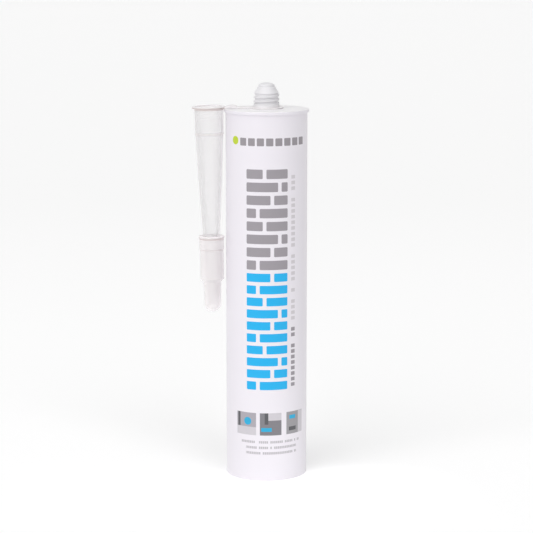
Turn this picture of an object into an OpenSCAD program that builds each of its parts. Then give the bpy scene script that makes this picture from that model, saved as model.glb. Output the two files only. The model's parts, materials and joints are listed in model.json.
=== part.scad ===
// A caulk tube: a barrel with a flat shoulder and a threaded neck, the plunger and the paste inside it,
// and a nozzle with a push-on cap that hangs beside the barrel from a ring round the neck.
// Millimetres. The open base stands on z = 0, +Z is up, and the barrel's axis is the Z axis.

/* [Barrel] */
// Outside diameter of the barrel
barrel_d = 49; // [46:0.5:54]
// Height of the shoulder's top face above the base
shoulder_h = 223.4; // [190:0.2:260]
// Wall thickness of the barrel
barrel_wall = 1.3; // [1:0.1:1.8]
// Thickness of the shoulder
shoulder_wall = 2; // [1.4:0.1:3]
// Radius of the fillet between the shoulder and the wall, inside
shoulder_fillet = 2; // [1:0.1:3]
// Rounding of the barrel's bottom edge, outside
base_round = 0.4; // [0.2:0.1:0.6]
// Depth of the open mouth, where the bore is a little wider
mouth_depth = 8; // [5:0.5:10]
// How much wider the mouth is than the bore, on the radius
mouth_relief = 0.3; // [0.1:0.1:0.5]
// Length of the taper that leads from the mouth into the bore
mouth_taper = 1; // [0.6:0.1:2]

/* [Lip] */
// How far the lip stands out from the barrel
lip_out = 1; // [0.6:0.1:1.4]
// Height of the lip
lip_h = 2.1; // [1.5:0.1:3]
// Rounding of the lip's edges
lip_round = 0.5; // [0.2:0.1:0.6]

/* [Neck] */
// Diameter of the neck over its collar and thread
neck_d = 15.4; // [13:0.1:17]
// Wall thickness of the neck under the thread
neck_wall = 1.5; // [1:0.1:2]
// Height of the plain collar at the foot of the neck
collar_h = 3; // [2:0.1:4]
// Height of the tip's edge above the end of the thread
tip_gap = 1.1; // [1:0.1:3]
// Diameter of the tip's cone at its foot
tip_d = 14.8; // [13.8:0.1:15.4]
// Height of the tip's cone above the thread
tip_cone_h = 2.9; // [2:0.1:4]
// Diameter of the tip's cone at its top, where it rounds in to the crown
tip_top_d = 11.4; // [11:0.1:13]
// Diameter of the tip's crown
crown_d = 9.8; // [8:0.1:10.4]
// Height of the crown
crown_h = 2.6; // [2.4:0.1:5]
// Height of the crown's rounded top
crown_round_h = 1.8; // [1:0.1:2.2]
// Thickness of the crown that is cut off before use
crown_wall = 1.8; // [1:0.1:2.5]

/* [Thread] */
// Rise of the thread in one turn
thread_pitch = 2.4; // [2:0.1:2.8]
// Height of the thread's ridge above the neck
thread_depth = 0.8; // [0.5:0.05:1]
// Number of turns
thread_turns = 2.1; // [1.5:0.1:2.2]
// Height of the thread's lower end above the collar
thread_lift = 0.1; // [0:0.1:1]
// Direction in which the neck's thread begins
thread_start = 0; // [-180:5:180]
// Width of the ridge at its crest
ridge_crest_w = 0.9; // [0.5:0.05:1.1]
// Width of the ridge at its root
ridge_root_w = 1.6; // [1.2:0.05:1.9]
// Angle over which the ridge rises from the neck at each end
ridge_fade = 40; // [20:5:90]
// Radial play between the nozzle's socket and the neck's thread
thread_play = 0.2; // [0.1:0.05:0.3]

/* [Plunger] */
// Length of the plunger
plunger_h = 24; // [18:0.5:32]
// How far inside the mouth's taper the plunger stands
plunger_rest = 2; // [0.5:0.5:10]
// Wall thickness of the plunger's skirt
plunger_wall = 1.3; // [1:0.1:2]
// Thickness of the plunger's front
plunger_front = 1.8; // [1.2:0.1:3]
// Radial gap between the plunger's skirt and the bore
skirt_gap = 0.6; // [0.3:0.05:1]
// Radial gap between the wiper lips and the bore
wiper_gap = 0.08; // [0.03:0.01:0.1]
// Height of a wiper lip
wiper_h = 2.4; // [1.6:0.1:4]
// Number of ribs inside the plunger
rib_count = 8; // [4:1:12]
// Thickness of a rib inside the plunger
rib_t = 1.2; // [0.8:0.1:2]
// Height of the ribs behind the plunger's front
rib_h = 4.5; // [3:0.5:12]
// Diameter of the plunger's middle boss
boss_d = 12; // [8:0.5:20]
// Wall thickness of the middle boss
boss_wall = 1.4; // [1:0.1:2]

/* [Paste] */
// Gap between the paste and what holds it
paste_gap = 0.15; // [0.1:0.05:0.3]

/* [Nozzle] */
// Length of the nozzle from its flange to its tip
nozzle_len = 120.6; // [110:0.2:130]
// Diameter of the flange
flange_d = 20.6; // [19:0.1:23]
// Thickness of the flange
flange_t = 1.2; // [0.8:0.1:1.6]
// Wall thickness of the threaded socket
socket_wall = 0.8; // [0.7:0.05:1.2]
// Depth of the threaded socket beyond the rounded end of the tip's cone
socket_spare = 2.9; // [1:0.1:4]
// Taper of the socket's outside, on the radius
socket_draft = 0.15; // [0.05:0.05:0.3]
// Height of the small step in the outside where the socket ends
socket_step = 0.15; // [0.05:0.05:0.3]
// Width of the ledge at the bottom of the socket
ledge_w = 0.6; // [0.4:0.1:1]
// Thickness of the ledge at the bottom of the socket
ledge_t = 0.8; // [0.5:0.1:1.2]
// Distance from the flange to where the cone gets steeper
knee_at = 44.7; // [35:0.1:55]
// Outside diameter of the cone there
knee_d = 14.2; // [13:0.1:15]
// Outside diameter of the nozzle's tip
spout_d = 5; // [4.4:0.1:5.6]
// Wall thickness of the cone
cone_wall = 1.1; // [0.8:0.05:1.3]
// Rounding of the flange and of the tip
nozzle_round = 0.3; // [0.1:0.1:0.5]

/* [Hanging strap] */
// Gap between the hanging nozzle's socket and the lip
hang_gap = 0.3; // [0.2:0.1:2]
// Angle by which the hanging nozzle leans towards the barrel
hang_lean = 0.9; // [0:0.1:1]
// Gap between the strap and the shoulder it lies on
strap_gap = 0.1; // [0.05:0.05:0.3]
// Thickness of the strap and its ring
strap_t = 1; // [0.6:0.1:1.4]
// Width of the strap
strap_w = 9; // [5:0.5:12]
// Width of the ring's band
ring_band = 2.3; // [1.5:0.1:3.5]
// Radial play between the ring and the neck
ring_play = 0.3; // [0.15:0.05:0.8]
// Length of the strap's bow over the lip
bow_len = 7.5; // [4:0.5:8]
// Height of the bow
bow_h = 0.9; // [0.5:0.1:1.5]

/* [Cap] */
// Length of the cap
cap_len = 46.5; // [40:0.1:50]
// How far the cap reaches past the nozzle's tip
cap_past_tip = 4.1; // [2.5:0.1:6]
// Diameter of the cap's rim
rim_d = 15.6; // [14.8:0.1:17]
// Height of the cap's rim
rim_h = 1.5; // [1.2:0.1:2.5]
// Diameter of the collar below the rim
cap_collar_d = 14.9; // [14:0.1:16]
// Length of that collar, rim included
cap_collar_len = 8.3; // [5:0.1:12]
// Diameter of the grip sleeve
sleeve_d = 14.4; // [13.4:0.1:15]
// Length of the cap down to the end of the sleeve
sleeve_len = 26.2; // [22:0.1:30]
// Length of the cone below the sleeve
cap_cone_len = 2; // [1.6:0.1:6]
// Diameter of the closed end, at its top
end_top_d = 10.8; // [10:0.1:12]
// Diameter of the closed end, where it rounds off
end_low_d = 10; // [9:0.1:10.6]
// Height of the rounded end
end_round_h = 4.4; // [2:0.1:5]
// Wall thickness of the cap
cap_wall = 1.1; // [0.8:0.1:1.4]
// Number of ribs that grip the nozzle
cap_ribs = 6; // [4:2:8]
// Thickness of those ribs
cap_rib_t = 0.8; // [0.6:0.1:1.2]
// Gap between those ribs and the nozzle
cap_gap = 0.08; // [0.05:0.01:0.2]
// Rounding of the cap's rim
rim_round = 0.4; // [0.2:0.1:0.6]

/* [Hidden] */

$fn = 96;
// What a cut reaches past a surface, so that nothing is left between them
past = 1;
// How deep a ridge or rib is rooted in its wall
root = 0.3;
// Steps in a rounded edge, in a rounded end and in one turn of thread
edge_steps = 5;
dome_steps = 10;
turn_steps = 36;

barrel_r = barrel_d / 2;
bore_r = barrel_r - barrel_wall;
mouth_r = bore_r + mouth_relief;
lip_r = barrel_r + lip_out;
lip_z = shoulder_h - lip_h;
ceiling_z = shoulder_h - shoulder_wall;

neck_r = neck_d / 2;
neck_root_r = neck_r - thread_depth;
neck_bore_r = neck_root_r - neck_wall;
crown_r = crown_d / 2;
crown_bore_r = crown_r - crown_wall;
tip_r = tip_d / 2;
tip_top_r = tip_top_d / 2;
tip_round = tip_top_r - crown_r;
thread_len = thread_pitch * thread_turns;
thread_from = collar_h + thread_lift;
tip_from = thread_from + thread_len + tip_gap;
crown_from = tip_from + tip_cone_h + tip_round;
neck_h = crown_from + crown_h;

plunger_recess = mouth_depth + mouth_taper + plunger_rest;
plunger_top = plunger_recess + plunger_h;
skirt_r = bore_r - skirt_gap;
wiper_r = bore_r - wiper_gap;

flange_r = flange_d / 2;
socket_bore_r = neck_r + thread_play;
socket_r = socket_bore_r + socket_wall;
cone_top_r = socket_r - socket_draft - socket_step;
knee_r = knee_d / 2;
spout_r = spout_d / 2;
socket_depth = crown_from + socket_spare;
hang_reach = lip_r + hang_gap + socket_r;
strap_z = shoulder_h + strap_gap;
ring_bore_r = neck_r + ring_play;
ring_r = ring_bore_r + ring_band;
bow_from = hang_reach - flange_r + root;
bow_r = (pow(bow_len / 2, 2) + pow(bow_h, 2)) / (2 * bow_h);

cap_from = nozzle_len + cap_past_tip - cap_len;
rim_r = rim_d / 2;
cap_collar_r = cap_collar_d / 2;
sleeve_r = sleeve_d / 2;
end_top_r = end_top_d / 2;
end_low_r = end_low_d / 2;
cap_cone_end = sleeve_len + cap_cone_len;
end_round_from = cap_len - end_round_h;

// Points of an arc of an ellipse about c, from angle a0 to a1
function arc(c, rx, ry, a0, a1, steps) =
    [for (i = [0:steps]) let (a = a0 + (a1 - a0) * i / steps) c + [rx * cos(a), ry * sin(a)]];

// How far a thread's ridge has risen at the share t of its length: 0 at its ends, 1 between them
function risen(t) = min(1, t * thread_turns * 360 / ridge_fade, (1 - t) * thread_turns * 360 / ridge_fade);

// Outside radius of the nozzle at a distance below its flange, on the steeper cone
function spout_radius(at) = knee_r + (spout_r - knee_r) * (at - knee_at) / (nozzle_len - knee_at);

// The ridge of a thread: it rises counter-clockwise from z = 0, from foot_r inside the wall to crest_r
module ridge(foot_r, crest_r) {
    rings = ceil(thread_turns * turn_steps);
    inward = crest_r < foot_r;
    sunk = root / 2 / abs(crest_r - foot_r);
    corners = [for (i = [0:rings])
        let (t = i / rings, a = thread_start + t * thread_turns * 360, z = t * thread_len,
             top_r = foot_r + (crest_r - foot_r) * (sunk + (1 - sunk) * risen(t)))
        for (c = [[foot_r, -ridge_root_w], [top_r, -ridge_crest_w],
                  [top_r, ridge_crest_w], [foot_r, ridge_root_w]])
            [c[0] * cos(a), c[0] * sin(a), z + c[1] / 2]];
    sides = [for (i = [0:rings - 1], k = [0:3])
        let (a = 4 * i + k, b = 4 * i + (k + 1) % 4)
        inward ? [a, a + 4, b + 4, b] : [a, b, b + 4, a + 4]];
    ends = [for (e = [0, 1]) [for (k = [0:3]) 4 * rings * e + ((e == 0) == inward ? k : 3 - k)]];
    polyhedron(corners, concat(sides, ends), convexity = 8);
}

// The white moulding: barrel, shoulder, lip, neck and closed tip
module cartridge() {
    color("white") difference() {
        union() {
            rotate_extrude() polygon(concat(
                [[0, 0]],
                arc([barrel_r - base_round, base_round], base_round, base_round, -90, 0, edge_steps),
                [[barrel_r, lip_z]],
                arc([lip_r - lip_round, lip_z + lip_round], lip_round, lip_round, -90, 0, edge_steps),
                arc([lip_r - lip_round, shoulder_h - lip_round], lip_round, lip_round, 0, 90, edge_steps),
                [[0, shoulder_h]]));
            translate([0, 0, shoulder_h]) neck();
        }
        cavity();
    }
}

// The barrel's hollow: mouth, bore, the fillet under the shoulder, and the closed bore of the neck
module cavity() {
    cone_foot = shoulder_h + tip_from;
    cone_top = cone_foot + tip_cone_h - crown_wall / 2;
    crown_bore_foot = shoulder_h + crown_from - crown_wall;
    crown_bore_top = shoulder_h + neck_h - crown_wall;
    rotate_extrude() polygon(concat(
        [[0, -past], [mouth_r, -past], [mouth_r, mouth_depth], [bore_r, mouth_depth + mouth_taper]],
        arc([bore_r - shoulder_fillet, ceiling_z - shoulder_fillet], shoulder_fillet, shoulder_fillet,
            0, 90, edge_steps),
        [[neck_bore_r, ceiling_z], [neck_bore_r, cone_foot], [tip_top_r - crown_wall, cone_top],
         [crown_bore_r, crown_bore_foot], [crown_bore_r, crown_bore_top], [0, crown_bore_top]]));
}

// The neck from the shoulder up: collar, thread, the tip's cone with its rounded end, and crown
module neck() {
    land = thread_depth / 2;
    cone_end = tip_from + tip_cone_h;
    translate([0, 0, -shoulder_wall / 2]) cylinder(r = neck_r, h = shoulder_wall / 2 + collar_h);
    rotate_extrude() polygon(concat(
        [[0, 0], [neck_r, 0], [neck_r, collar_h], [neck_root_r, collar_h + land],
         [neck_root_r, tip_from - land], [tip_r, tip_from]],
        arc([crown_r, cone_end], tip_round, tip_round, 0, 90, edge_steps),
        arc([0, neck_h - crown_round_h], crown_r, crown_round_h, 0, 90, dome_steps)));
    translate([0, 0, thread_from]) ridge(neck_root_r - root, neck_r);
}

// The piston: a cup with two wiper lips, its front up, with ribs round a middle boss behind the front
module plunger() {
    front_round = shoulder_fillet;
    color("ivory") translate([0, 0, plunger_recess]) difference() {
        rotate_extrude() polygon(concat(
            [[0, 0], [wiper_r, 0], [skirt_r, wiper_h],
             [skirt_r, plunger_h - front_round - wiper_h], [wiper_r, plunger_h - front_round]],
            arc([wiper_r - front_round, plunger_h - front_round], front_round, front_round,
                0, 90, edge_steps),
            [[0, plunger_h]]));
        difference() {
            translate([0, 0, -past])
                cylinder(r = skirt_r - plunger_wall, h = plunger_h - plunger_front + past);
            translate([0, 0, plunger_h - plunger_front - rib_h]) plunger_ribs();
        }
    }
}

// The boss and the ribs that run from it to the skirt
module plunger_ribs() {
    rib_len = skirt_r - boss_d / 2 + boss_wall / 2;
    difference() {
        cylinder(d = boss_d, h = rib_h + past);
        translate([0, 0, -past]) cylinder(d = boss_d - 2 * boss_wall, h = rib_h + past);
    }
    for (i = [0:rib_count - 1]) rotate(360 * i / rib_count)
        translate([boss_d / 2 - boss_wall / 2, -rib_t / 2, 0]) cube([rib_len, rib_t, rib_h + past]);
}

// The paste that fills the barrel from the plunger to the shoulder
module sealant() {
    paste_r = bore_r - paste_gap;
    paste_top = ceiling_z - paste_gap;
    paste_fillet = shoulder_fillet;
    color("gainsboro") rotate_extrude() polygon(concat(
        [[0, plunger_top + paste_gap], [paste_r, plunger_top + paste_gap]],
        arc([paste_r - paste_fillet, paste_top - paste_fillet], paste_fillet, paste_fillet,
            0, 90, edge_steps),
        [[0, paste_top]]));
}

// Places what hangs from the strap: its z = 0 is the flange's top, and it leans about that point
module hung() {
    translate([-hang_reach, 0, strap_z + flange_t]) rotate([0, -hang_lean, 0]) children();
}

// The translucent moulding: cone, threaded socket, flange, strap and ring
module nozzle() {
    color("whitesmoke") {
        difference() {
            union() {
                hung() nozzle_outside();
                strap();
            }
            hung() nozzle_hollow();
        }
        hung() translate([0, 0, -thread_from - thread_len])
            ridge(socket_bore_r + root, socket_bore_r - thread_depth);
    }
}

// The nozzle's outer form, hanging down from its flange
module nozzle_outside() {
    socket_end = -socket_depth - ledge_t;
    rotate_extrude() polygon(concat(
        [[0, -nozzle_len]],
        arc([spout_r - nozzle_round, nozzle_round - nozzle_len], nozzle_round, nozzle_round,
            -90, 0, edge_steps),
        [[knee_r, -knee_at], [cone_top_r, socket_end], [cone_top_r + socket_step, socket_end],
         [socket_r, -flange_t]],
        arc([flange_r - nozzle_round, nozzle_round - flange_t], nozzle_round, nozzle_round,
            -90, 0, edge_steps),
        arc([flange_r - nozzle_round, -nozzle_round], nozzle_round, nozzle_round, 0, 90, edge_steps),
        [[0, 0]]));
}

// The nozzle's hollow: the socket, the ledge at its bottom and the channel down to the tip
module nozzle_hollow() {
    ledge_r = socket_bore_r - ledge_w;
    channel_r = spout_r - cone_wall;
    rotate_extrude() polygon([
        [0, -nozzle_len - past], [channel_r, -nozzle_len - past], [channel_r, -nozzle_len],
        [knee_r - cone_wall, -knee_at], [ledge_r, -socket_depth - ledge_t], [ledge_r, -socket_depth],
        [socket_bore_r, -socket_depth], [socket_bore_r, past], [0, past]]);
}

// The ring round the neck and the strap that joins it to the flange, with a bow over the lip
module strap() {
    flat_from = ring_bore_r + ring_band / 2;
    bow_to = bow_from - bow_len;
    translate([0, 0, strap_z]) difference() {
        union() {
            cylinder(r = ring_r, h = strap_t);
            translate([-bow_to, -strap_w / 2, 0]) cube([bow_to - flat_from, strap_w, strap_t]);
            translate([-hang_reach + socket_r, -strap_w / 2, 0])
                cube([hang_reach - socket_r - bow_from, strap_w, strap_t]);
            translate([-bow_from + bow_len / 2, 0, 0]) bow();
        }
        translate([0, 0, -past]) cylinder(r = ring_bore_r, h = strap_t + 2 * past);
    }
}

// The bow: a low arch of the strap's thickness
module bow() {
    rotate([90, 0, 0]) linear_extrude(strap_w, center = true) intersection() {
        translate([0, bow_h - bow_r]) difference() {
            circle(r = bow_r + strap_t);
            circle(r = bow_r);
        }
        translate([-bow_len / 2 - root, 0]) square([bow_len + 2 * root, bow_h + strap_t + past]);
    }
}

// The cap on the nozzle's tip
module nozzle_cap() {
    color("gainsboro") hung() translate([0, 0, -cap_from]) {
        difference() {
            cap_outside();
            cap_hollow();
        }
        difference() {
            intersection() {
                cap_rib_plates();
                cap_core(root);
            }
            nozzle_core();
        }
    }
}

// The cap's outer form, from its rim at z = 0 down to its rounded end
module cap_outside() {
    rotate_extrude() polygon(concat(
        arc([0, -end_round_from], end_low_r, end_round_h, -90, 0, dome_steps),
        [[end_top_r, -cap_cone_end], [sleeve_r, -sleeve_len], [sleeve_r, -cap_collar_len],
         [cap_collar_r, -cap_collar_len + (cap_collar_r - sleeve_r)], [cap_collar_r, -rim_h]],
        arc([rim_r - rim_round, rim_round - rim_h], rim_round, rim_round, -90, 0, edge_steps),
        arc([rim_r - rim_round, -rim_round], rim_round, rim_round, 0, 90, edge_steps),
        [[0, 0]]));
}

// The cap's hollow
module cap_hollow() {
    cap_core(0);
    cylinder(r = sleeve_r - cap_wall, h = past);
}

// The form inside the cap's wall, larger by the given amount all round
module cap_core(more) {
    rotate_extrude() polygon(concat(
        arc([0, -end_round_from], end_low_r - cap_wall + more, end_round_h - cap_wall + more,
            -90, 0, dome_steps),
        [[end_top_r - cap_wall + more, -cap_cone_end], [sleeve_r - cap_wall + more, -sleeve_len],
         [sleeve_r - cap_wall + more, 0], [0, 0]]));
}

// Plates through the cap's axis, of which only the ribs are left
module cap_rib_plates() {
    rib_from = rim_h;
    for (i = [0:cap_ribs / 2 - 1]) rotate(360 * i / cap_ribs)
        translate([-sleeve_r, -cap_rib_t / 2, -cap_len]) cube([2 * sleeve_r, cap_rib_t, cap_len - rib_from]);
}

// The nozzle's tip with the gap round it, as the cap sees it
module nozzle_core() {
    tip_z = cap_from - nozzle_len;
    top_r = spout_radius(cap_from - past);
    translate([0, 0, tip_z]) cylinder(r1 = spout_r + cap_gap, r2 = top_r + cap_gap, h = -tip_z + past);
    translate([0, 0, tip_z - cap_past_tip + cap_wall])
        cylinder(r = spout_r + cap_gap, h = cap_past_tip - cap_wall + past);
}

cartridge();
plunger();
sealant();
nozzle();
nozzle_cap();
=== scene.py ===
import json
import math

import bmesh
import bpy
from mathutils import Matrix, Vector

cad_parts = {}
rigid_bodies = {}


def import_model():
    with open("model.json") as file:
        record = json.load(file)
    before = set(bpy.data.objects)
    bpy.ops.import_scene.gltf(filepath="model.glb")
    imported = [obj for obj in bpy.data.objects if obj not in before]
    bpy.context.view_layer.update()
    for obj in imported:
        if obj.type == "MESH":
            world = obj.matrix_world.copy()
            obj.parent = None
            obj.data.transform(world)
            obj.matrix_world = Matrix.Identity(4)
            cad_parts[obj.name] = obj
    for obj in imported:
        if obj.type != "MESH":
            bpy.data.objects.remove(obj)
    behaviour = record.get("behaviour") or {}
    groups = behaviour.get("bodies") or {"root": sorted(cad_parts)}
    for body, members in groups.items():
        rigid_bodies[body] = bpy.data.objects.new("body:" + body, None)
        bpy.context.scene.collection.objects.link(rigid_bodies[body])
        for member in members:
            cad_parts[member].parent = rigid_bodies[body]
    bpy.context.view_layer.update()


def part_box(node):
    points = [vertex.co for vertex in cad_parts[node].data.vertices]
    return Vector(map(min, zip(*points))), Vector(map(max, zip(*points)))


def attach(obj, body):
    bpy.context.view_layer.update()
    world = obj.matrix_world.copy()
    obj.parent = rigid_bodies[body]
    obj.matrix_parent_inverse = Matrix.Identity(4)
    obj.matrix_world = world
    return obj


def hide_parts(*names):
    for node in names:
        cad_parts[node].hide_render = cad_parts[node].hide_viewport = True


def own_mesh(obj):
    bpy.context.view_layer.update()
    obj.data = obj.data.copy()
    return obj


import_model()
scene = bpy.context.scene
mm = 0.001


# Camera and studio
# The tube stands on a white table in soft white light that comes mostly from the left and from above.
# The camera looks down on it a little, from straight in front of its print.
camera_at = (0, -1118.2 * mm, 322.3 * mm)
camera_looks_down = 9.88
camera_lens = 126.5

camera = bpy.data.objects.new("camera", bpy.data.cameras.new("camera"))
camera.data.lens = camera_lens
camera.location = camera_at
camera.rotation_euler = (math.radians(90 - camera_looks_down), 0, 0)
scene.collection.objects.link(camera)
scene.camera = camera
scene.view_settings.view_transform = "Standard"


def srgb(red, green, blue):
    """A colour given in the 0 to 255 steps of a picture, as Blender's linear colour."""
    steps = [v / 255 for v in (red, green, blue)]
    return tuple(v / 12.92 if v <= 0.04045 else ((v + 0.055) / 1.055) ** 2.4 for v in steps) + (1,)


def add(tree, kind, at, values=(), **settings):
    """A new node of that kind, at a column and a row. values maps its inputs to what they hold or read."""
    column_w, row_h = 180, 160
    node = tree.nodes.new(kind)
    node.location = (at[0] * column_w, -at[1] * row_h)
    for name, value in settings.items():
        setattr(node, name, value)
    for socket, value in dict(values).items():
        if isinstance(value, bpy.types.NodeSocket):
            tree.links.new(value, node.inputs[socket])
        else:
            node.inputs[socket].default_value = value
    return node


def maths(tree, at, operation, *values):
    """What a Math node makes of these values. Each is a number or a socket."""
    return add(tree, "ShaderNodeMath", at, enumerate(values), operation=operation).outputs[0]


def vectors(tree, at, operation, *values):
    """What a Vector Math node makes of these values: a number for the three measures, or else a vector."""
    measures = ("LENGTH", "DISTANCE", "DOT_PRODUCT")
    node = add(tree, "ShaderNodeVectorMath", at, enumerate(values), operation=operation)
    return node.outputs["Value" if operation in measures else "Vector"]


def ranged(tree, at, value, start, end, low, high, **settings):
    """A number that goes from low to high as the value goes from start to end."""
    return add(tree, "ShaderNodeMapRange", at, {
        "Value": value, "From Min": start, "From Max": end, "To Min": low, "To Max": high},
        **settings).outputs[0]


white = (1, 1, 1, 1)
room_light = 0.25
backdrop_seen = srgb(247, 247, 247)

# The room lights the tube faintly from all sides, and shows as a pale backdrop where it is seen: by the
# camera, in a reflection, or through something clear.
world = bpy.data.worlds.new("studio")
scene.world = world
world.use_nodes = True
sky = world.node_tree
sky.nodes.clear()
ray = add(sky, "ShaderNodeLightPath", (0, 0)).outputs
straight_or_glossy = maths(sky, (1, 0), "MAXIMUM", ray["Is Camera Ray"], ray["Is Glossy Ray"])
is_seen = maths(sky, (2, 0), "MAXIMUM", straight_or_glossy, ray["Is Transmission Ray"])
lit = add(sky, "ShaderNodeBackground", (3, 0), {"Color": white, "Strength": room_light})
shown = add(sky, "ShaderNodeBackground", (3, 1), {"Color": backdrop_seen, "Strength": 1})
room = add(sky, "ShaderNodeMixShader", (4, 0), {0: is_seen, 1: lit.outputs[0], 2: shown.outputs[0]})
add(sky, "ShaderNodeOutputWorld", (5, 0), {"Surface": room.outputs[0]})


def soft_light(name, from_left, above, strength, softness):
    """A far, wide lamp: its direction is given in degrees to the left of the camera and above the table."""
    lamp = bpy.data.objects.new(name, bpy.data.lights.new(name, "SUN"))
    lamp.data.energy = strength
    lamp.data.angle = math.radians(softness)
    lamp.rotation_euler = (math.radians(90 - above), 0, math.radians(-from_left))
    scene.collection.objects.link(lamp)


soft_light("key_light", from_left=36, above=32, strength=1.1, softness=50)
soft_light("fill_light", from_left=-28, above=42, strength=0.5, softness=30)
soft_light("top_light", from_left=0, above=80, strength=0.85, softness=60)
soft_light("side_light", from_left=100, above=30, strength=0.15, softness=60)

table_side = 30000 * mm
table_colour = srgb(232, 232, 232)
table_roughness = 0.9
table_gloss = 0.1
table_near_y = -100 * mm
table_near_glow = 0.317
table_far_y = 1200 * mm
table_far_glow = 0.257
painted_pool_at = (50 * mm, -55 * mm, 0)
painted_pool_r = 80 * mm
painted_pool_glow = 0.45

# The table's paper glows a little, less towards the back, and glows most in a painted pool of light in front
# of the tube.
bpy.ops.mesh.primitive_plane_add(size=table_side)
table = bpy.context.object
table.name = "table"
paper = bpy.data.materials.new("white_table")
paper.use_nodes = True
paper_tree = paper.node_tree
surface = paper_tree.nodes["Principled BSDF"].inputs
surface["Base Color"].default_value = table_colour
surface["Roughness"].default_value = table_roughness
surface["Specular IOR Level"].default_value = table_gloss
surface["Emission Color"].default_value = white
spot = add(paper_tree, "ShaderNodeTexCoord", (-6, 0)).outputs["Object"]
back = add(paper_tree, "ShaderNodeSeparateXYZ", (-5, 0), {0: spot}).outputs["Y"]
glow = ranged(
    paper_tree, (-3, 0), back, table_near_y, table_far_y, table_near_glow, table_far_glow)
# A painted pool of light on the paper, in front of the tube.
from_painted_pool = vectors(paper_tree, (-5, 1), "DISTANCE", spot, painted_pool_at)
painted_light_pool = ranged(paper_tree, (-3, 1), from_painted_pool, painted_pool_r, 0, 0, painted_pool_glow, interpolation_type="SMOOTHSTEP")
paper_tree.links.new(maths(paper_tree, (-2, 0), "ADD", glow, painted_light_pool), surface["Emission Strength"])
table.data.materials.append(paper)


# Barrel
# One injection moulding of white polyethylene: an open barrel, a flat shoulder with a small lip round it,
# and a threaded neck that is closed until its tip is cut off. The print lies straight on the barrel.
barrel_r = 24.5 * mm
bore_r = 23.2 * mm
mouth_r = 23.5 * mm
mouth_depth = 8 * mm
mouth_taper = 1 * mm
mouth_round = 0.3 * mm
base_round = 0.4 * mm
lip_r = 25.5 * mm
lip_h = 2.1 * mm
lip_round = 0.5 * mm
shoulder_z = 223.4 * mm
shoulder_wall = 2 * mm
shoulder_fillet = 2 * mm
foot_round = 0.4 * mm
neck_top_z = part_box("cartridge")[1][2]
neck_r = 7.7 * mm
neck_root_r = 6.9 * mm
neck_bore_r = 5.4 * mm
collar_h = 3 * mm
tip_from = 9.24 * mm
tip_r = 7.4 * mm
tip_cone_h = 2.9 * mm
tip_top_r = 5.7 * mm
crown_r = 4.9 * mm
crown_wall = 1.8 * mm
crown_round_h = 1.8 * mm
thread_pitch = 2.4 * mm
thread_turns = 2.1
thread_from = 3.1 * mm
thread_depth = 0.8 * mm
ridge_crest_w = 0.9 * mm
ridge_root_w = 1.6 * mm
ridge_points = 48
ridge_fade_angle = 40
ridge_end_share = 0.12
root_in_wall = 0.3 * mm
edge_angle = math.radians(35)
same_point = 0.0001 * mm


def arc(centre, radius, start, end, steps=8, height=None):
    """Points on an arc, from one angle in degrees to another. height is an ellipse's radius upwards."""
    angles = [math.radians(start + (end - start) * i / steps) for i in range(steps + 1)]
    rise = radius if height is None else height
    return [(centre[0] + radius * math.cos(a), centre[1] + rise * math.sin(a)) for a in angles]


def placed(name, mesh, place=Matrix()):
    """An object in the scene that holds this mesh, moved to its place."""
    mesh.transform(place)
    mesh.shade_smooth()
    mesh.set_sharp_from_angle(angle=edge_angle)
    piece = bpy.data.objects.new(name, mesh)
    scene.collection.objects.link(piece)
    return piece


def finished(bm, mesh):
    """The mesh, now holding what bm has built, with its faces pointing outwards."""
    bmesh.ops.recalc_face_normals(bm, faces=bm.faces)
    bm.to_mesh(mesh)
    bm.free()
    return mesh


def turned(name, outline, around=160):
    """A closed mesh: an outline of (radius, height) points turned round the Z axis. The outline is a loop,
    or it starts and ends on the axis."""
    bm = bmesh.new()
    rings = []
    for r, z in outline:
        corners = around if r > same_point else 1
        angles = [2 * math.pi * i / around for i in range(corners)]
        rings.append([bm.verts.new((r * math.cos(a), r * math.sin(a), z)) for a in angles])
    is_loop = len(rings[0]) > 1
    for ring, following in zip(rings, rings[1:] + rings[:1] if is_loop else rings[1:]):
        for i in range(around):
            pair = [ring[i % len(ring)], ring[(i + 1) % len(ring)]]
            other = [following[(i + 1) % len(following)], following[i % len(following)]]
            bm.faces.new(list(dict.fromkeys(pair + other)))
    return finished(bm, bpy.data.meshes.new(name))


def evaluated(piece):
    """The piece's mesh with its modifiers worked out."""
    seen = piece.evaluated_get(bpy.context.evaluated_depsgraph_get())
    return bpy.data.meshes.new_from_object(seen)


def combined(name, mesh, *others):
    """The mesh with the other meshes fused to it, as one closed skin."""
    body = placed(name, mesh)
    additions = bpy.data.collections.new(name + "_additions")
    for other in others:
        additions.objects.link(placed(name + "_addition", other))
    fuse = body.modifiers.new("fuse", "BOOLEAN")
    fuse.operation = "UNION"
    fuse.solver = "EXACT"
    fuse.operand_type = "COLLECTION"
    fuse.collection = additions
    result = evaluated(body)
    for piece in [body, *additions.objects]:
        bpy.data.objects.remove(piece)
    bpy.data.collections.remove(additions)
    return result


def new_group(kind, name, takes, gives):
    """A group of Shader or Geometry nodes, the sockets that it takes in and those that it puts out."""
    group = bpy.data.node_groups.new(name, kind + "NodeTree")
    for way, sockets in (("INPUT", takes), ("OUTPUT", gives)):
        for label, socket_kind in sockets.items():
            group.interface.new_socket(label, in_out=way, socket_type="NodeSocket" + socket_kind)
    return group, group.nodes.new("NodeGroupInput").outputs, group.nodes.new("NodeGroupOutput").inputs


def end_tree(tree, at, geometry, material, result):
    """The last nodes of a Geometry Nodes tree: its instances made real, in its material."""
    realized = add(tree, "GeometryNodeRealizeInstances", at, {"Geometry": geometry})
    coloured = add(tree, "GeometryNodeSetMaterial", (at[0] + 1, at[1]), {
        "Geometry": realized.outputs[0], "Material": material})
    tree.links.new(coloured.outputs[0], result["Geometry"])


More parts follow.
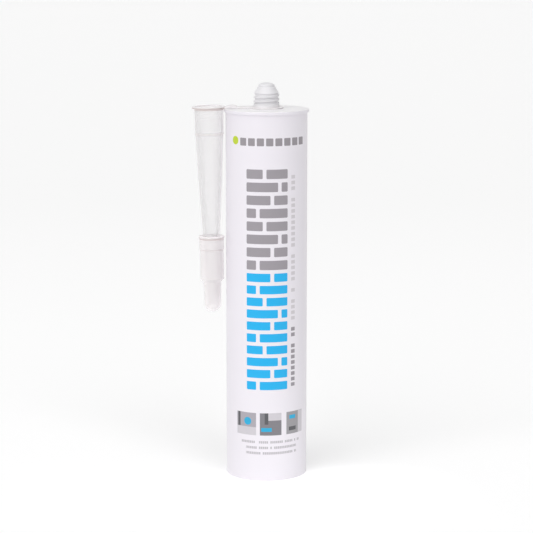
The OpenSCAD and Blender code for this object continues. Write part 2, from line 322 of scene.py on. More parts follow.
def grown(tree, start=None, **sizes):
    """What a tree makes of a mesh with these sizes, as a plain mesh."""
    piece = bpy.data.objects.new("growing", start or bpy.data.meshes.new("growing"))
    scene.collection.objects.link(piece)
    growing = piece.modifiers.new("grow", "NODES")
    growing.node_group = tree
    for item in tree.interface.items_tree:
        if item.name in sizes:
            growing[item.identifier] = sizes[item.name]
    mesh = evaluated(piece)
    bpy.data.objects.remove(piece)
    return mesh


def thread_tree():
    """A right-hand ridge round the Z axis: a trapezium swept along a helix, fading out at both ends."""
    tree, size, result = new_group("Geometry", "thread_ridge", {
        "Geometry": "Geometry", "Radius": "Float", "Pitch": "Float", "Turns": "Float", "Depth": "Float",
        "Sunk": "Float", "Crest": "Float", "Root": "Float", "Fade": "Float", "Outward": "Float",
        "Plastic": "Material"}, {"Geometry": "Geometry"})
    height = maths(tree, (0, 0), "MULTIPLY", size["Pitch"], size["Turns"])
    helix = add(tree, "GeometryNodeCurveSpiral", (1, 0), {
        "Resolution": ridge_points, "Rotations": size["Turns"], "Start Radius": size["Radius"],
        "End Radius": size["Radius"], "Height": height, "Reverse": True})
    upright = add(tree, "GeometryNodeSetCurveNormal", (2, 0), {"Curve": helix.outputs[0]}, mode="Z_UP")
    along = add(tree, "GeometryNodeSplineParameter", (0, 1)).outputs["Factor"]
    to_go = maths(tree, (1, 1), "SUBTRACT", 1, along)
    nearer = maths(tree, (2, 1), "MINIMUM", along, to_go)
    risen = maths(tree, (3, 1), "MULTIPLY", nearer, size["Fade"])
    kept_up = maths(tree, (4, 1), "MAXIMUM", risen, ridge_end_share)
    share = maths(tree, (5, 1), "MINIMUM", kept_up, 1)
    faded = add(tree, "GeometryNodeSetCurveRadius", (6, 0), {"Curve": upright.outputs[0], "Radius": share})
    tall = maths(tree, (0, 3), "ADD", size["Depth"], size["Sunk"])
    section = add(tree, "GeometryNodeCurvePrimitiveQuadrilateral", (1, 3), {
        "Height": tall, "Bottom Width": size["Root"], "Top Width": size["Crest"], "Offset": 0.0},
        mode="TRAPEZOID")
    half = maths(tree, (2, 4), "MULTIPLY", tall, 0.5)
    proud = maths(tree, (3, 4), "SUBTRACT", half, size["Sunk"])
    lift = add(tree, "ShaderNodeCombineXYZ", (4, 4), {"Y": proud}).outputs[0]
    lifted = add(tree, "GeometryNodeTransform", (5, 3), {
        "Geometry": section.outputs[0], "Translation": lift})
    quarter_turn = maths(tree, (5, 4), "MULTIPLY", size["Outward"], -math.pi / 2)
    turn = add(tree, "ShaderNodeCombineXYZ", (6, 4), {"Z": quarter_turn}).outputs[0]
    faced = add(tree, "GeometryNodeTransform", (7, 3), {"Geometry": lifted.outputs[0], "Rotation": turn})
    swept = add(tree, "GeometryNodeCurveToMesh", (8, 0), {
        "Curve": faded.outputs[0], "Profile Curve": faced.outputs[0], "Fill Caps": True})
    end_tree(tree, (9, 0), swept.outputs[0], size["Plastic"], result)
    return tree


def thread(core_r, outward, material):
    """A thread's ridge, from z = 0 up, on a wall of this radius. outward is 1 on a neck, -1 in a socket."""
    mesh = grown(
        thread_ridge, Radius=core_r, Pitch=thread_pitch, Turns=thread_turns, Depth=thread_depth,
        Sunk=root_in_wall, Crest=ridge_crest_w, Root=ridge_root_w, Outward=outward,
        Fade=thread_turns * 360 / ridge_fade_angle, Plastic=material)
    bm = bmesh.new()
    bm.from_mesh(mesh)
    bmesh.ops.remove_doubles(bm, verts=bm.verts, dist=same_point)
    return finished(bm, mesh)


def dressed(piece, material):
    """The piece with this one material on all its faces."""
    piece.data.materials.clear()
    piece.data.materials.append(material)
    piece.data.polygons.foreach_set("material_index", [0] * len(piece.data.polygons))
    return piece


def barrel_outline():
    """The moulding's section: from the closed end of the neck's bore down its inside, and up its outside."""
    ceiling = shoulder_z - shoulder_wall
    tip_z = shoulder_z + tip_from
    cone_end = tip_z + tip_cone_h
    tip_round = tip_top_r - crown_r
    bore_top = neck_top_z - crown_wall
    crown_bore_r = crown_r - crown_wall
    root_rise = thread_depth / 2
    inside = [(0, bore_top), (crown_bore_r, bore_top), (crown_bore_r, cone_end + tip_round - crown_wall),
              (tip_top_r - crown_wall, cone_end - crown_wall / 2), (neck_bore_r, tip_z),
              (neck_bore_r, ceiling)]
    inside += arc((bore_r - shoulder_fillet, ceiling - shoulder_fillet), shoulder_fillet, 90, 0)
    inside += [(bore_r, mouth_depth + mouth_taper), (mouth_r, mouth_depth)]
    mouth_edge = arc((mouth_r + mouth_round, mouth_round), mouth_round, 180, 270, steps=4)
    base = arc((barrel_r - base_round, base_round), base_round, -90, 0, steps=5)
    wall = [(barrel_r, shoulder_z - lip_h)]
    lip = arc((lip_r - lip_round, shoulder_z - lip_h + lip_round), lip_round, -90, 0, steps=5)
    shoulder = arc((lip_r - lip_round, shoulder_z - lip_round), lip_round, 0, 90, steps=5)
    foot = arc((neck_r + foot_round, shoulder_z + foot_round), foot_round, 270, 180, steps=4)
    neck = [(neck_r, shoulder_z + collar_h), (neck_root_r, shoulder_z + collar_h + root_rise),
            (neck_root_r, tip_z - root_rise), (tip_r, tip_z)]
    tip_end = arc((crown_r, cone_end), tip_round, 0, 90, steps=6)
    crown = arc((0, neck_top_z - crown_round_h), crown_r, 0, 90, steps=12, height=crown_round_h)
    top = [(0, neck_top_z)]
    return inside + mouth_edge + base + wall + lip + shoulder + foot + neck + tip_end + crown[:-1] + top


flow_scale = (90, 90, 12)
grain_scale = 1800
grain_share = 0.12
cloud_scale = 26
gloss_change = 0.08
relief_depth = 0.05 * mm
polyethylene_ior = 1.51


def mixed(tree, at, share, first, second, kind="RGBA"):
    """The first colour, going over to the second as share goes from 0 to 1, or numbers with kind FLOAT."""
    first_slot, second_slot, result_slot = {"RGBA": (6, 7, 2), "FLOAT": (2, 3, 0)}[kind]
    node = add(tree, "ShaderNodeMix", at, {0: share, first_slot: first, second_slot: second},
               data_type=kind)
    return node.outputs[result_slot]


def moulded_group():
    """Moulded polyethylene: faint flow marks along it, a fine grain, and slight blotches in its gloss."""
    group, take, give = new_group("Shader", "moulded_plastic", {
        "Colour": "Color", "Cloud": "Color", "Gloss": "Float", "Gloss Change": "Float", "Flow": "Float"},
        {"Colour": "Color", "Roughness": "Float", "Height": "Float"})
    place = add(group, "ShaderNodeTexCoord", (0, 0)).outputs["Object"]
    stretched = add(group, "ShaderNodeMapping", (1, 0), {"Vector": place, "Scale": flow_scale}).outputs[0]
    flow = add(group, "ShaderNodeTexNoise", (2, 0), {"Vector": stretched, "Scale": 1, "Detail": 3})
    grain = add(group, "ShaderNodeTexNoise", (2, 1), {"Vector": place, "Scale": grain_scale, "Detail": 2})
    clouds = add(group, "ShaderNodeTexNoise", (2, 2), {"Vector": place, "Scale": cloud_scale, "Detail": 2})
    marks = maths(group, (3, 0), "MULTIPLY", flow.outputs[0], take["Flow"])
    height = maths(group, (4, 0), "MULTIPLY_ADD", grain.outputs[0], grain_share, marks)
    change = maths(group, (3, 2), "SUBTRACT", clouds.outputs[0], 0.5)
    gloss = maths(group, (4, 2), "MULTIPLY_ADD", change, take["Gloss Change"], take["Gloss"])
    tint = mixed(group, (4, 3), clouds.outputs[0], take["Colour"], take["Cloud"])
    group.links.new(tint, give["Colour"])
    group.links.new(gloss, give["Roughness"])
    group.links.new(height, give["Height"])
    return group


def shape_group():
    """One printed shape: a rounded box. A round that is half its width makes it a disc."""
    group, take, give = new_group("Shader", "printed_shape", {
        "Place": "Vector", "Middle": "Vector", "Half Size": "Vector", "Round": "Float"},
        {"Mask": "Float"})
    offset = vectors(group, (1, 0), "SUBTRACT", take["Place"], take["Middle"])
    apart = vectors(group, (2, 0), "ABSOLUTE", offset)
    beyond = vectors(group, (3, 0), "SUBTRACT", apart, take["Half Size"])
    rounded = vectors(group, (4, 0), "ADD", beyond, take["Round"])
    outside = vectors(group, (5, 0), "MAXIMUM", rounded, (0, 0, 0))
    distance = vectors(group, (6, 0), "LENGTH", outside)
    group.links.new(maths(group, (7, 0), "LESS_THAN", distance, take["Round"]), give["Mask"])
    return group


def dashes_group():
    """A row of short dashes with a gap here and there, as wide as a line of small print."""
    labels = ("Along", "Across", "Middle", "Half Length", "Level", "Half Height", "Pitch", "Dash", "Gaps",
              "Seed")
    group, take, give = new_group(
        "Shader", "printed_dashes", dict.fromkeys(labels, "Float"), {"Mask": "Float"})
    in_length = maths(group, (1, 0), "COMPARE", take["Along"], take["Middle"], take["Half Length"])
    in_height = maths(group, (1, 1), "COMPARE", take["Across"], take["Level"], take["Half Height"])
    row = maths(group, (2, 0), "MULTIPLY", in_length, in_height)
    step = maths(group, (1, 2), "DIVIDE", take["Along"], take["Pitch"])
    share = maths(group, (2, 2), "FRACT", step)
    dash = maths(group, (3, 2), "LESS_THAN", share, take["Dash"])
    number = maths(group, (2, 3), "FLOOR", step)
    seeded = maths(group, (3, 3), "ADD", number, take["Seed"])
    chance = add(group, "ShaderNodeTexWhiteNoise", (4, 3), {"W": seeded}, noise_dimensions="1D")
    printed = maths(group, (5, 3), "GREATER_THAN", chance.outputs["Value"], take["Gaps"])
    marks = maths(group, (6, 2), "MULTIPLY", dash, printed)
    group.links.new(maths(group, (7, 1), "MULTIPLY", row, marks), give["Mask"])
    return group


moulded_plastic = moulded_group()
printed_shape = shape_group()
printed_dashes = dashes_group()


def plastic(name, colour, cloud, gloss, flow=0.5, bump=0.15):
    """A material of moulded polyethylene, its node tree, its shader and the moulding's own colour."""
    material = bpy.data.materials.new(name)
    material.use_nodes = True
    tree = material.node_tree
    shader = tree.nodes["Principled BSDF"]
    shader.inputs["IOR"].default_value = polyethylene_ior
    mould = add(tree, "ShaderNodeGroup", (-3, 0), {
        "Colour": colour, "Cloud": cloud, "Gloss": gloss, "Gloss Change": gloss_change, "Flow": flow},
        node_tree=moulded_plastic).outputs
    relief = add(tree, "ShaderNodeBump", (-2, 3), {
        "Height": mould["Height"], "Strength": bump, "Distance": relief_depth})
    tree.links.new(mould["Colour"], shader.inputs["Base Color"])
    tree.links.new(mould["Roughness"], shader.inputs["Roughness"])
    tree.links.new(relief.outputs[0], shader.inputs["Normal"])
    return material, tree, shader, mould["Colour"]


barrel_white = srgb(238, 234, 240)
barrel_cloud = srgb(236, 232, 239)
barrel_gloss = 0.36
shoulder_painted_light = srgb(245, 243, 245)
neck_painted_shade = srgb(224, 223, 226)
neck_shade_share = 0.8
blue = srgb(0, 177, 237)
dark_grey = srgb(150, 145, 150)
mid_grey = srgb(155, 150, 156)
pale_grey = srgb(190, 185, 191)
faint_grey = srgb(212, 207, 212)
leaf_green = srgb(190, 210, 40)
tile_greys = (srgb(170, 166, 174), srgb(126, 124, 130), srgb(156, 154, 158))
tile_pale = srgb(206, 202, 208)
tile_blue = srgb(30, 170, 215)
tile_dark = srgb(86, 86, 90)

print_corner = 0.01 * mm
header_z = 205.6 * mm
header_from = -14.6 * mm
header_pitch = 5.5 * mm
header_size = (4.3 * mm, 4.6 * mm)
header_round = 0.5 * mm
header_count = 8
mark_at = (-20.7 * mm, 206.1 * mm)
mark_r = 2.5 * mm
band_middle = 0.4 * mm
band_w = 25.4 * mm
band_gap = 2.2 * mm
band_round = 0.6 * mm
band_joints = (-0.22, 0.12, 0.3, -0.06)
band_low = 55.4 * mm
band_change = 128.5 * mm
band_high = 190.6 * mm
blue_bars = 10
grey_bars = 8
side_row = {"level": 17.2 * mm, "height": 2.9 * mm, "pitch": 3.4 * mm, "upwards": True}
small_row = {"height": 1.5 * mm, "pitch": 1.15 * mm, "dash": 0.8, "gaps": 0.13}
tile_z = 35.3 * mm
tile_size = (13.3 * mm, 13.8 * mm)
tile_places = [(across * mm, tile_z) for across in (-13.0, 2.6, 19.2)]


def printed_barrel():
    """White polyethylene with the print on the barrel's outside: fields of grey and blue, rows of dashes."""
    material, tree, shader, moulding_colour = plastic(
        "printed_barrel", barrel_white, barrel_cloud, barrel_gloss)
    position = add(tree, "ShaderNodeTexCoord", (-14, 0)).outputs["Object"]
    split = add(tree, "ShaderNodeSeparateXYZ", (-13, 0), {0: position}).outputs
    front = maths(tree, (-12, 1), "MULTIPLY", split["Y"], -1)
    angle = maths(tree, (-11, 0), "ARCTAN2", split["X"], front)
    around = maths(tree, (-10, 0), "MULTIPLY", angle, barrel_r)
    place = add(tree, "ShaderNodeCombineXYZ", (-9, 0), {"X": around, "Y": split["Z"]}).outputs[0]
    flat = add(tree, "ShaderNodeCombineXYZ", (-12, -1), {"X": split["X"], "Y": split["Y"]}).outputs[0]
    from_axis = vectors(tree, (-11, -1), "LENGTH", flat)
    outside = maths(tree, (-10, -1), "GREATER_THAN", from_axis, (bore_r + barrel_r) / 2)

    def shape(middle, size, rounded=print_corner):
        """The mask of one shape on the flat print: its middle and its size, across and up."""
        return add(tree, "ShaderNodeGroup", (-8, len(tree.nodes)), {
            "Place": place, "Middle": (middle[0], middle[1], 0), "Round": rounded,
            "Half Size": (size[0] / 2, size[1] / 2, 1)}, node_tree=printed_shape).outputs["Mask"]

    def dashes(start, end, level, height, pitch, dash, gaps, seed, upwards=False):
        """The mask of one row of dashes, across the barrel or up it. dash is the share of a pitch that is
        inked, and gaps the share of the pitches that are left bare."""
        return add(tree, "ShaderNodeGroup", (-8, len(tree.nodes)), {
            "Along": split["Z"] if upwards else around, "Across": around if upwards else split["Z"],
            "Middle": (start + end) / 2, "Half Length": (end - start) / 2, "Level": level,
            "Half Height": height / 2, "Pitch": pitch, "Dash": dash, "Gaps": gaps, "Seed": seed},
            node_tree=printed_dashes).outputs["Mask"]

    def joined(masks):
        """1 where any of these masks is 1."""
        total = masks[0]
        for mask in masks[1:]:
            total = maths(tree, (-7, len(tree.nodes)), "MAXIMUM", total, mask)
        return total

    def courses(low, high, count):
        """A column of level bars. Each is split by a narrow joint that moves from one bar to the next."""
        pitch = (high - low) / count
        bars = []
        for i in range(count):
            level = low + (i + 0.5) * pitch
            joint = band_middle + band_w * band_joints[i % len(band_joints)]
            for start, end in ((band_middle - band_w / 2, joint - band_gap / 2),
                               (joint + band_gap / 2, band_middle + band_w / 2)):
                bar_size = (end - start, pitch - band_gap)
                bars.append(shape(((start + end) / 2, level), bar_size, band_round))
        return joined(bars)

    tiles = [shape(middle, tile_size) for middle in tile_places]

    def on_tile(number, across, up, width, height, rounded=print_corner):
        """The mask of a shape on one of the tiles, in millimetres from the tile's middle."""
        x, z = tile_places[number]
        one = shape((x + across * mm, z + up * mm), (width * mm, height * mm), rounded)
        return maths(tree, (-7, len(tree.nodes)), "MULTIPLY", one, tiles[number])

    header = [shape((header_from + i * header_pitch, header_z), header_size, header_round)
              for i in range(header_count)]
    small_rows = [dashes(-16.2 * mm, 22.5 * mm, level=24.2 * mm, seed=3, **small_row),
                  dashes(-13 * mm, 20 * mm, level=20.75 * mm, seed=17, **small_row),
                  dashes(-13 * mm, 20 * mm, level=17.35 * mm, seed=41, **small_row)]
    pale_parts = [on_tile(0, 0, -4.4, 14, 5), on_tile(1, 3.4, 4.6, 14, 4.6),
                  on_tile(2, 4.6, 0, 4.2, 14)]
    blue_parts = [on_tile(0, 1.2, 1.6, 4.8, 4.8, rounded=2.4 * mm), on_tile(1, -2.6, -3.4, 6.4, 2.4),
                  on_tile(2, -2.2, 3.6, 4.6, 2.4)]
    dark_parts = [on_tile(0, -4.9, 2.6, 1.8, 9), on_tile(1, -2.6, 3.4, 2.2, 7),
                  on_tile(2, -2.2, -3.6, 5.4, 2.4)]
    inks = [
        (dark_grey, joined(header)),
        (leaf_green, shape(mark_at, (2 * mark_r, 2 * mark_r), mark_r)),
        (blue, courses(band_low, band_change, blue_bars)),
        (mid_grey, courses(band_change, band_high, grey_bars)),
        (faint_grey, dashes(97 * mm, 189.4 * mm, dash=0.62, gaps=0.17, seed=5, **side_row)),
        (mid_grey, dashes(57.9 * mm, 95 * mm, dash=0.66, gaps=0.1, seed=31, **side_row)),
        (pale_grey, joined(small_rows)),
        *zip(tile_greys, tiles),
        (tile_pale, joined(pale_parts)),
        (tile_blue, joined(blue_parts)),
        (tile_dark, joined(dark_parts))]

    # Painted light: the shoulder's top is painted paler than the barrel, as if lit more strongly from above.
    on_top = maths(tree, (-8, 4), "GREATER_THAN", split["Z"], shoulder_z - lip_round / 2)
    # Painted shade: the neck is painted greyer from its foot up, though it is the same white plastic.
    up_neck = ranged(tree, (-8, 3), split["Z"], shoulder_z + foot_round, shoulder_z + collar_h,
                     0, neck_shade_share)
    paler = mixed(tree, (-6, 3), on_top, moulding_colour, shoulder_painted_light)
    plain = mixed(tree, (-5, 3), up_neck, paler, neck_painted_shade)
    colour = plain
    for column, (ink, mask) in enumerate(inks, start=-len(inks)):
        colour = mixed(tree, (column / 2, 1), mask, colour, ink)
    tree.links.new(mixed(tree, (0, 1), outside, plain, colour), shader.inputs["Base Color"])
    return material


thread_ridge = thread_tree()
white_plastic = printed_barrel()
neck_thread = thread(neck_root_r, 1, white_plastic)
neck_thread.transform(Matrix.Translation((0, 0, shoulder_z + thread_from)))
moulding = combined("barrel", turned("barrel", barrel_outline()), neck_thread)
barrel = dressed(placed("barrel", moulding), white_plastic)
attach(barrel, "cartridge")
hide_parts("cartridge")


# Plunger
# A moulded cup of natural polyethylene that the gun pushes up the barrel. Its front is up, two thin wiper
# lips seal it against the bore, and short ribs round a middle boss stiffen the front from behind.
plunger_z = 11 * mm
plunger_h = 24 * mm
plunger_wall = 1.3 * mm
plunger_front = 1.8 * mm
front_round = 2 * mm
skirt_r = 22.6 * mm
wiper_r = 23.12 * mm
wiper_h = 2.4 * mm
rib_count = 8
rib_t = 1.2 * mm
rib_h = 4.5 * mm
boss_r = 6 * mm
boss_wall = 1.4 * mm
under_front = plunger_z + plunger_h - plunger_front
rib_low = under_front - rib_h
rib_top = under_front + root_in_wall
plunger_colour = srgb(236, 234, 226)
plunger_cloud = srgb(231, 229, 220)


def copies_tree():
    """Copies of a mesh set evenly round the Z axis."""
    tree, take, result = new_group("Geometry", "copies_round_axis", {
        "Geometry": "Geometry", "Count": "Int", "Plastic": "Material"}, {"Geometry": "Geometry"})
    points = add(tree, "GeometryNodePoints", (0, 0), {"Count": take["Count"]})
    number = add(tree, "GeometryNodeInputIndex", (0, 1)).outputs[0]
    share = maths(tree, (1, 1), "DIVIDE", number, take["Count"])
    angle = maths(tree, (2, 1), "MULTIPLY", share, 2 * math.pi)
    turn = add(tree, "ShaderNodeCombineXYZ", (3, 1), {"Z": angle}).outputs[0]
    copies = add(tree, "GeometryNodeInstanceOnPoints", (4, 0), {
        "Points": points.outputs[0], "Instance": take["Geometry"], "Rotation": turn})
    end_tree(tree, (5, 0), copies.outputs[0], take["Plastic"], result)
    return tree


def plate(name, corners, thickness):
    """A flat plate with these (radius, height) corners, standing in the plane of the X and Z axes."""
    bm = bmesh.new()
    sides = [[bm.verts.new((r, y, z)) for r, z in corners] for y in (-thickness / 2, thickness / 2)]
    bm.faces.new(sides[0])
    bm.faces.new(sides[1][::-1])
    for i in range(len(corners)):
        j = (i + 1) % len(corners)
        bm.faces.new([sides[0][j], sides[0][i], sides[1][i], sides[1][j]])
    return finished(bm, bpy.data.meshes.new(name))


def rectangle(near, far, low, high):
    """The corners of a section between two radii and two heights."""
    return [(near, low), (far, low), (far, high), (near, high)]


def cup_outline():
    """The section of the cup: down its inside, and up its outside from one wiper lip to the other."""
    inner_r = skirt_r - plunger_wall
    round_z = plunger_z + plunger_h - front_round
    inside = [(0, under_front), (inner_r, under_front), (inner_r, plunger_z)]
    skirt = [(wiper_r, plunger_z), (skirt_r, plunger_z + wiper_h), (skirt_r, round_z - wiper_h)]
    front = arc((wiper_r - front_round, round_z), front_round, 0, 90)
    return inside + skirt + front + [(0, plunger_z + plunger_h)]


copies_round_axis = copies_tree()
natural_plastic = plastic("natural_plastic", plunger_colour, plunger_cloud, gloss=0.45)[0]
cup = turned("plunger", cup_outline())
boss = turned("boss", rectangle(boss_r - boss_wall, boss_r, rib_low, rib_top), around=64)
rib = plate("rib", rectangle(boss_r - boss_wall / 2, skirt_r - plunger_wall / 2, rib_low, rib_top), rib_t)
plunger_ribs = grown(copies_round_axis, rib, Count=rib_count, Plastic=natural_plastic)
stiffened = combined("plunger_cup", cup, boss, plunger_ribs)
plunger = dressed(placed("plunger_cup", stiffened), natural_plastic)
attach(plunger, "plunger")
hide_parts("plunger")


# Sealant
# The paste that fills the barrel between the plunger and the shoulder. It leaves through the neck as the
# plunger slides up, so it flattens towards the shoulder.
paste_r = 23.05 * mm
paste_low, paste_high = (corner[2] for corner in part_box("sealant"))
paste_colour = srgb(236, 236, 233)
paste_cloud = srgb(230, 230, 227)

white_paste = plastic("white_paste", paste_colour, paste_cloud, gloss=0.5, flow=2, bump=0.4)[0]
paste_edge = arc((paste_r - shoulder_fillet, paste_high - shoulder_fillet), shoulder_fillet, 0, 90)
paste_outline = [(0, paste_low), (paste_r, paste_low)] + paste_edge + [(0, paste_high)]
filling = turned("paste", paste_outline, around=96)
paste = dressed(placed("paste", filling), white_paste)
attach(paste, "cartridge")
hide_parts("sealant")
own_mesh(paste)


# Nozzle
# One moulding of translucent natural polyethylene: a flanged socket with a thread inside, a long cone that
# gets steeper below its knee, and a thin strap with a ring that lies on the shoulder, round the neck.
nozzle_len = 120.6 * mm
flange_r = 10.3 * mm
flange_t = 1.2 * mm
socket_bore_r = 7.9 * mm
socket_r = 8.7 * mm
socket_end_r = 8.55 * mm
cone_top_r = 8.4 * mm
socket_depth = 15.84 * mm
ledge_w = 0.6 * mm
ledge_t = 0.8 * mm
knee_at = 44.7 * mm
knee_r = 7.1 * mm
spout_r = 2.5 * mm
cone_wall = 1.1 * mm
nozzle_round = 0.3 * mm
hang_reach = 34.5 * mm
hang_lean = 0.9
strap_z = 223.5 * mm
strap_t = 1 * mm
strap_w = 9 * mm
ring_bore_r = 8 * mm
ring_r = 10.3 * mm
bow_from = 24.5 * mm
bow_len = 7.5 * mm
bow_h = 0.9 * mm
bow_steps = 12
nozzle_colour = srgb(233, 231, 232)
nozzle_cloud = srgb(230, 228, 229)
flange_colour = srgb(243, 240, 241)

lean = Matrix.Rotation(math.radians(-hang_lean), 4, "Y")
hung = Matrix.Translation((-hang_reach, 0, strap_z + flange_t)) @ lean


def nozzle_outline():
    """The section of the nozzle as it hangs, from the flange's top at z = 0 down to its tip."""
    socket_end = -socket_depth - ledge_t
    channel_r = spout_r - cone_wall
    ledge_r = socket_bore_r - ledge_w
    tip = arc((spout_r - nozzle_round, nozzle_round - nozzle_len), nozzle_round, -90, 0, steps=4)
    spout = [(knee_r, -knee_at), (cone_top_r, socket_end), (socket_end_r, socket_end)]
    under_flange = arc((socket_r + nozzle_round, -flange_t - nozzle_round), nozzle_round, 180, 90, steps=4)
    flange_low = arc((flange_r - nozzle_round, nozzle_round - flange_t), nozzle_round, -90, 0, steps=4)
    flange_top = arc((flange_r - nozzle_round, -nozzle_round), nozzle_round, 0, 90, steps=4)
    hollow = [(socket_bore_r, 0), (socket_bore_r, -socket_depth), (ledge_r, -socket_depth),
              (ledge_r, socket_end), (knee_r - cone_wall, -knee_at), (channel_r, -nozzle_len)]
    return tip + spout + under_flange + flange_low + flange_top + hollow


def strap_mesh():
    """The strap from the flange to the ring, as one outline from the side, with its bow over the lip."""
    bow_r = ((bow_len / 2) ** 2 + bow_h ** 2) / (2 * bow_h)
    flat_to = ring_bore_r + (ring_r - ring_bore_r) / 2
    socket_side = hang_reach - socket_r
    low = [(-socket_side, 0)]
    for i in range(bow_steps + 1):
        along = bow_len * i / bow_steps
        rise = math.sqrt(bow_r ** 2 - (along - bow_len / 2) ** 2) - bow_r + bow_h
        low.append((along - bow_from, rise))
    low.append((-flat_to, 0))
    high = [(x, z + strap_t) for x, z in reversed(low)]
    mesh = plate("strap", low + high, strap_w)
    mesh.transform(Matrix.Translation((0, 0, strap_z)))
    return mesh


def dense_and_shade_group():
    """A soft band that shows as a dark line on a hanging part: where its plastic is denser, and painted
    shadow under a step. It lies at a depth below the part's top, and between two distances from its axis,
    which keep it on the outer faces."""
    labels = ("Depth", "From Axis", "Middle", "Half Width", "Soft", "Least", "Most", "Strength")
    group, take, give = new_group(
        "Shader", "dense_and_shade_band", dict.fromkeys(labels, "Float"), {"Band": "Float"})
    offset = maths(group, (1, 0), "SUBTRACT", take["Depth"], take["Middle"])
    apart = maths(group, (2, 0), "ABSOLUTE", offset)
    outer = maths(group, (2, 1), "ADD", take["Half Width"], take["Soft"])
    level = ranged(group, (3, 0), apart, outer, take["Half Width"], 0, 1, interpolation_type="SMOOTHSTEP")
    beyond = maths(group, (2, 2), "GREATER_THAN", take["From Axis"], take["Least"])
    short_of = maths(group, (2, 3), "LESS_THAN", take["From Axis"], take["Most"])
    here = maths(group, (3, 2), "MULTIPLY", beyond, short_of)
    both = maths(group, (4, 0), "MULTIPLY", level, here)
    group.links.new(maths(group, (5, 0), "MULTIPLY", both, take["Strength"]), give["Band"])
    return group


dense_and_shade_band = dense_and_shade_group()
milky_gloss = 0.3
milky_flow = 0.3
milk_blend = 0.2
# The dark tint of the bands: denser plastic, and painted shadow under the flange, the cap's rim and the
# cap's collar.
dense_and_shadow_colour = srgb(196, 180, 177)
dense_and_shadow_alpha = 0.9
rim_margin = 0.1 * mm


def translucent(name, colour, cloud, top, alphas, flat_rim, bands):
    """Natural polyethylene: milky, so that what lies behind it shows through, and denser seen edge on.
    top is the middle of the part's top. alphas are those seen face on, seen edge on, and to the light that
    falls through. flat_rim is the flat ring at the top: how deep it goes, its least distance from the axis,
    its alpha and its colour. Each of the bands is a set of inputs for the band group: a dark line where the
    plastic is denser, with painted shadow where the line lies under a step."""
    material, tree, shader, moulding_colour = plastic(name, colour, cloud, milky_gloss, flow=milky_flow)
    down = lean.to_3x3() @ Vector((0, 0, -1))
    place = add(tree, "ShaderNodeTexCoord", (-9, 5)).outputs["Object"]
    offset = vectors(tree, (-8, 5), "SUBTRACT", place, top)
    depth = vectors(tree, (-7, 5), "DOT_PRODUCT", offset, down)
    along = add(tree, "ShaderNodeVectorMath", (-6, 6), {0: down, "Scale": depth},
                operation="SCALE").outputs[0]
    across = vectors(tree, (-5, 6), "SUBTRACT", offset, along)
    from_axis = vectors(tree, (-4, 6), "LENGTH", across)

    dense_and_shaded = 0
    for row, band in enumerate(bands, start=11):
        one = add(tree, "ShaderNodeGroup", (-3, row), {"Depth": depth, "From Axis": from_axis, **band},
                  node_tree=dense_and_shade_band).outputs[0]
        dense_and_shaded = maths(tree, (-2, row), "MAXIMUM", dense_and_shaded, one)
    behind = add(tree, "ShaderNodeNewGeometry", (-3, 8)).outputs["Backfacing"]
    front = maths(tree, (-2, 8), "SUBTRACT", 1, behind)
    in_band = maths(tree, (-2, 7), "MULTIPLY", dense_and_shaded, front)
    high_up = maths(tree, (-3, 9), "LESS_THAN", depth, flat_rim["Depth"])
    far_out = maths(tree, (-3, 10), "GREATER_THAN", from_axis, flat_rim["Least"])
    on_rim = maths(tree, (-2, 9), "MULTIPLY", high_up, far_out)

    paler = mixed(tree, (-1, 1), on_rim, moulding_colour, flat_rim["Colour"])
    # The bands' dark tint is partly denser plastic and partly painted shadow.
    tint = mixed(tree, (-1, 0), in_band, paler, dense_and_shadow_colour)
    tree.links.new(tint, shader.inputs["Base Color"])
    edge_on = add(tree, "ShaderNodeLayerWeight", (-3, 5), {"Blend": milk_blend}).outputs["Facing"]
    milk = ranged(tree, (-2, 5), edge_on, 0, 1, alphas["Facing"], alphas["Edge"])
    milkier = mixed(tree, (-1, 6), on_rim, milk, flat_rim["Alpha"], kind="FLOAT")
    band_alpha = mixed(tree, (-1, 5), in_band, milkier, dense_and_shadow_alpha, kind="FLOAT")
    for_light = add(tree, "ShaderNodeLightPath", (-1, 7)).outputs["Is Shadow Ray"]
    alpha = mixed(tree, (0, 5), for_light, band_alpha, alphas["Shadow"], kind="FLOAT")
    tree.links.new(alpha, shader.inputs["Alpha"])
    return material


nozzle_plastic = translucent(
    "nozzle_plastic", nozzle_colour, nozzle_cloud, top=hung.translation,
    alphas={"Facing": 0.21, "Edge": 0.65, "Shadow": 0.04},
    flat_rim={"Depth": flange_t + rim_margin, "Least": socket_bore_r + rim_margin, "Alpha": 0.85,
              "Colour": flange_colour},
    # Band one: the flange's denser edge, and the painted shadow below it on the socket. Band two: the
    # socket's floor, seen through the wall.
    bands=[{"Middle": 1.35 * mm, "Half Width": 0.4 * mm, "Soft": 0.9 * mm,
            "Least": 8.3 * mm, "Most": 10.6 * mm, "Strength": 0.85},
           {"Middle": 16.4 * mm, "Half Width": 0.3 * mm, "Soft": 0.9 * mm,
            "Least": 8 * mm, "Most": 9 * mm, "Strength": 0.45}])
cone = turned("nozzle", nozzle_outline(), around=128)
cone.transform(hung)
ring = turned("ring", rectangle(ring_bore_r, ring_r, strap_z, strap_z + strap_t), around=96)
socket_thread = thread(socket_bore_r, -1, nozzle_plastic)
socket_thread.transform(hung @ Matrix.Translation((0, 0, -thread_from - thread_pitch * thread_turns)))
hanging = combined("nozzle_body", cone, strap_mesh(), ring, socket_thread)
nozzle = dressed(placed("nozzle_body", hanging), nozzle_plastic)
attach(nozzle, "nozzle")
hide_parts("nozzle")


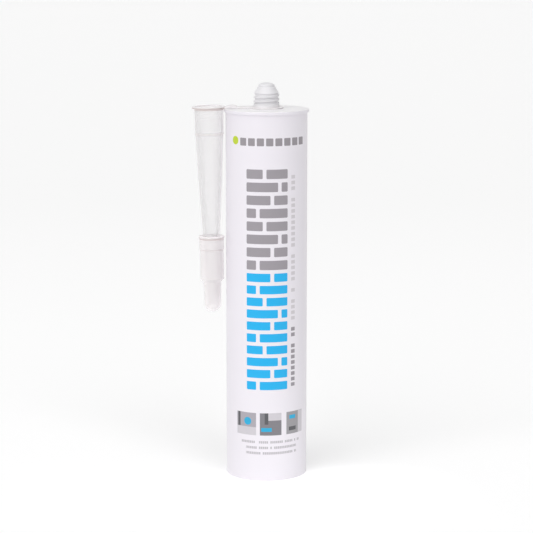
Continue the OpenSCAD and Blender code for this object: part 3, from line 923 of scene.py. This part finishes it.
# Nozzle cap
# A closed cap of the same translucent plastic, moulded in one piece and pushed over the nozzle's tip.
# It has a rim and a collar at its mouth, a round end, and six ribs inside that grip the cone.
cap_len = 46.5 * mm
cap_past_tip = 4.1 * mm
rim_r = 7.8 * mm
rim_h = 1.5 * mm
rim_round = 0.4 * mm
cap_collar_r = 7.45 * mm
cap_collar_len = 8.3 * mm
sleeve_r = 7.2 * mm
sleeve_len = 26.2 * mm
cap_cone_len = 2 * mm
end_top_r = 5.4 * mm
end_low_r = 5 * mm
end_round_h = 4.4 * mm
cap_wall = 1.1 * mm
cap_ribs = 6
cap_rib_t = 0.8 * mm
cap_gap = 0.08 * mm
cap_from = nozzle_len + cap_past_tip - cap_len
cap_place = hung @ Matrix.Translation((0, 0, -cap_from))
cap_colour = srgb(250, 246, 247)
cap_cloud = srgb(248, 244, 245)
rim_colour = srgb(244, 239, 240)


def cap_outline():
    """The section of the cap: from its closed end up the inside, over the rim and down the outside."""
    round_z = end_round_h - cap_len
    cone_end = -sleeve_len - cap_cone_len
    cap_bore_r = sleeve_r - cap_wall
    inner_end = arc((0, round_z), end_low_r - cap_wall, -90, 0, steps=12, height=end_round_h - cap_wall)
    outer_end = arc((0, round_z), end_low_r, 0, -90, steps=12, height=end_round_h)
    bore = [(end_top_r - cap_wall, cone_end), (cap_bore_r, -sleeve_len), (cap_bore_r, 0)]
    rim_top = arc((rim_r - rim_round, -rim_round), rim_round, 90, 0, steps=5)
    rim_low = arc((rim_r - rim_round, rim_round - rim_h), rim_round, 0, -90, steps=5)
    collar = [(cap_collar_r, -rim_h), (cap_collar_r, -cap_collar_len + (cap_collar_r - sleeve_r)),
              (sleeve_r, -cap_collar_len), (sleeve_r, -sleeve_len), (end_top_r, cone_end)]
    return ([(0, -cap_len + cap_wall)] + inner_end[1:] + bore + rim_top + rim_low + collar
            + outer_end[:-1] + [(0, -cap_len)])


def cone_r(below_rim):
    """The radius of the nozzle's cone at a depth below the cap's rim."""
    along = (cap_from + below_rim - knee_at) / (nozzle_len - knee_at)
    return knee_r + (spout_r - knee_r) * along


def cap_rib_outline():
    """The section of one rib, between the cap's wall and the cone of the nozzle."""
    wall_r = sleeve_r - cap_wall + root_in_wall
    end_r = end_top_r - cap_wall + root_in_wall
    low_r = end_low_r - cap_wall + root_in_wall
    round_z = end_round_h - cap_len
    tip_at = nozzle_len - cap_from
    return [(cone_r(rim_h) + cap_gap, -rim_h), (wall_r, -rim_h), (wall_r, -sleeve_len),
            (end_r, -sleeve_len - cap_cone_len), (low_r, round_z), (cone_r(tip_at) + cap_gap, round_z)]


cap_plastic = translucent(
    "cap_plastic", cap_colour, cap_cloud, top=cap_place.translation,
    alphas={"Facing": 0.42, "Edge": 0.5, "Shadow": 0.03},
    flat_rim={"Depth": rim_round, "Least": sleeve_r - cap_wall - rim_margin, "Alpha": 0.95,
              "Colour": rim_colour},
    # Band one: the rim's denser edge, and the painted shadow below it. Band two: painted shadow under the
    # collar's step.
    bands=[{"Middle": rim_h, "Half Width": 0.3 * mm, "Soft": 0.6 * mm,
            "Least": 7.4 * mm, "Most": 9 * mm, "Strength": 0.75},
           {"Middle": cap_collar_len - rim_margin, "Half Width": 0.1 * mm, "Soft": 0.5 * mm,
            "Least": 7 * mm, "Most": 9 * mm, "Strength": 0.5}])
cap_rib = plate("cap_rib", cap_rib_outline(), cap_rib_t)
grips = grown(copies_round_axis, cap_rib, Count=cap_ribs, Plastic=cap_plastic)
shell = combined("cap", turned("cap", cap_outline(), around=128), grips)
cap = dressed(placed("cap", shell, cap_place), cap_plastic)
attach(cap, "nozzle_cap")
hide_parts("nozzle_cap")
